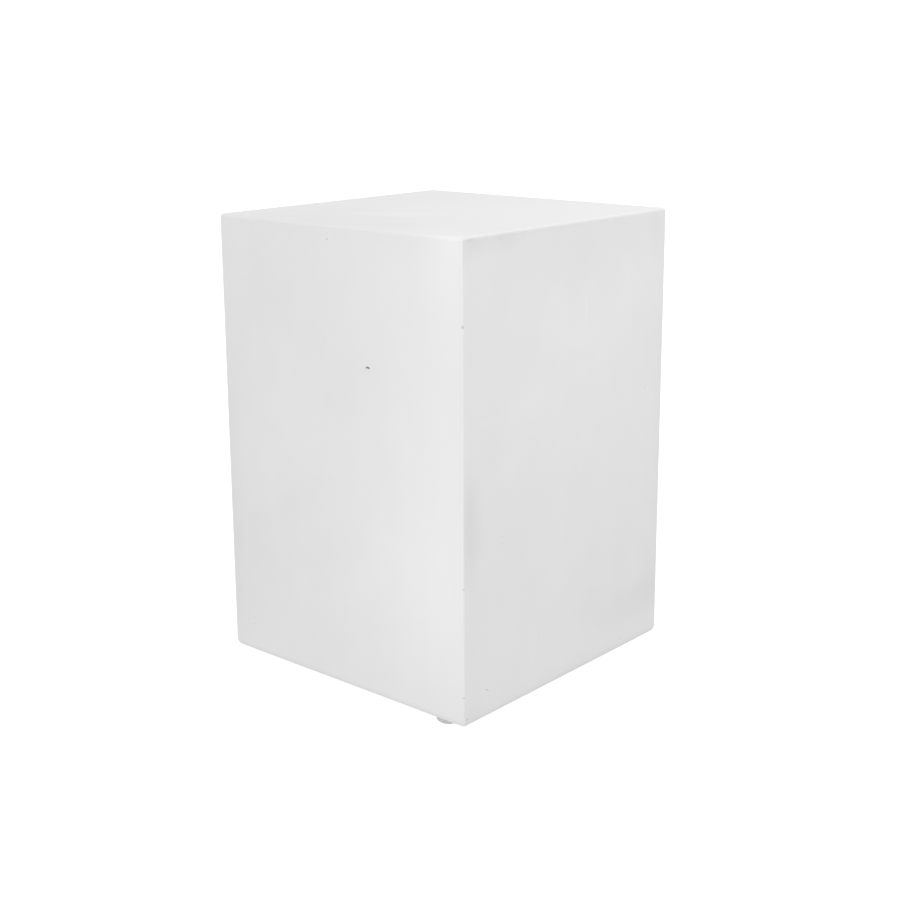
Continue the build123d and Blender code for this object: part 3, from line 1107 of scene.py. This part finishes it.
# %% [markdown]
# ## Light, floor and camera
#
# A white object on white is lit like a product in a light tent: the surroundings are bright from
# everywhere, so the faces differ only a little. The world is the tent: brightest above, darker at the sides
# below, and brighter again straight down, where a white floor would throw light up under the rim. The
# camera sees plain paper instead of it.
#
# The floor only gives the object something to stand on. It glows, so that it shows as white as the paper,
# and it is hidden from the object's own light, because the world's lower half already stands for it. Soft
# boxes tip the balance between the faces, and narrow strips of light brighten the sheet along its near
# upright edge.


# %% Tent, floor and soft boxes
def box_light(name, place, aim, size, watts):
    """A rectangular soft box that points from its place to its aim."""
    lamp = bpy.data.lights.new(name, "AREA")
    lamp.shape = "RECTANGLE"
    lamp.size, lamp.size_y = size
    lamp.energy = watts
    made = bpy.data.objects.new(name, lamp)
    made.location = place
    made.rotation_euler = (Vector(aim) - Vector(place)).to_track_quat("-Z", "Y").to_euler()
    made.visible_camera = False
    bpy.context.scene.collection.objects.link(made)


SKY, GROUND, BELOW, PAPER = 0.935, 0.645, 0.35, 1.02
PLAIN_WHITE = (1, 1, 1, 1)
world = bpy.data.worlds.new("tent")
world.use_nodes = True
background = world.node_tree.nodes["Background"]
tent = Value(background.outputs[0])
height = tent.node("ShaderNodeTexCoord", output="Generated").axes()[2]
glow = height.ramp(-0.1, 0.1) * (SKY - GROUND) + height.ramp(-0.5, -0.95) * BELOW + GROUND
world.node_tree.links.new(glow.socket, background.inputs["Strength"])
background.inputs["Color"].default_value = PLAIN_WHITE
paper = tent.node("ShaderNodeBackground", inputs={"Color": PLAIN_WHITE, "Strength": PAPER})
seen = tent.node("ShaderNodeLightPath", output="Is Camera Ray")
mixed = tent.node("ShaderNodeMixShader", inputs={0: seen, 1: tent, 2: paper})
world.node_tree.links.new(mixed.socket, world.node_tree.nodes["World Output"].inputs["Surface"])
bpy.context.scene.world = world
bpy.context.scene.view_settings.view_transform = "Standard"

FLOOR_REACH, FLOOR_GLOW = 6.0, 0.88
bm = bmesh.new()
bmesh.ops.create_grid(bm, x_segments=1, y_segments=1, size=FLOOR_REACH)
floor = object_from("floor", bm)
sweep = Finish("pale sweep", Roughness=0.9)
mottled = sweep.place.noise(30.0).ramp(0.2, 0.8)
sweep.set("Base Color", mottled.tint((0.29, 0.29, 0.29), (0.31, 0.31, 0.31)))
sweep.shader.inputs["Emission Color"].default_value = PLAIN_WHITE
sweep.shader.inputs["Emission Strength"].default_value = FLOOR_GLOW
floor.data.materials.append(sweep.material)
floor.visible_diffuse = floor.visible_glossy = floor.visible_shadow = False

SOFT_BOXES = {
    "front_box": ((0.4, -2.4, 0.9), (0, 0, 0.3), (1.4, 1.4), 8.84),
    "right_box": ((2.4, -0.2, 0.8), (0, 0, 0.3), (1.4, 1.2), 1.64),
    "back_left_box": ((-2.4, 0.9, 0.3), (-0.17, 0.1, 0.3), (1.4, 0.4), 3.0),
    "near_box": ((0.75, 0.05, 0.42), (0.17, 0.0, 0.36), (0.35, 0.35), 0.38),
    "corner_box": ((0.34, 0.20, 0.95), (0.16, 0.10, TOP), (0.5, 0.5), 0.50),
    "tall_strip": ((0.12, -0.33, 0.36), (0.13, -0.175, 0.36), (0.06, 0.5), 0.024),
    "edge_strip": ((0.165, -0.235, 0.42), (0.162, -0.175, 0.40), (0.03, 0.42), 0.010),
    "low_strip": ((0.15, -0.27, 0.15), (0.15, -0.175, 0.15), (0.04, 0.2), 0.012),
}
for name, (place, aim, size, watts) in SOFT_BOXES.items():
    box_light(name, place, aim, size, watts)
print("tent and floor ready, with", len(SOFT_BOXES), "soft boxes")

# %% [markdown]
# The camera stands a little above the plinth's top and looks down at its near corner. A lens a little
# longer than normal keeps the sides from leaning too much.

# %% Camera
LENS, SHIFT = 60.23, -0.05
EYE = (1.1010, -1.2546, 0.6912)
YAW, PITCH_DOWN, ROLL = (math.radians(a) for a in (131.127, 13.461, -0.332))
camera = bpy.data.objects.new("camera", bpy.data.cameras.new("camera"))
bpy.context.scene.collection.objects.link(camera)
camera.data.sensor_width = 36
camera.data.lens = LENS
camera.data.shift_y = SHIFT
heading = Matrix.Rotation(YAW - math.pi / 2, 4, "Z") @ Matrix.Rotation(math.pi / 2 - PITCH_DOWN, 4, "X")
camera.matrix_world = Matrix.Translation(EYE) @ heading @ Matrix.Rotation(ROLL, 4, "Z")
bpy.context.scene.camera = camera
print("camera at", EYE)
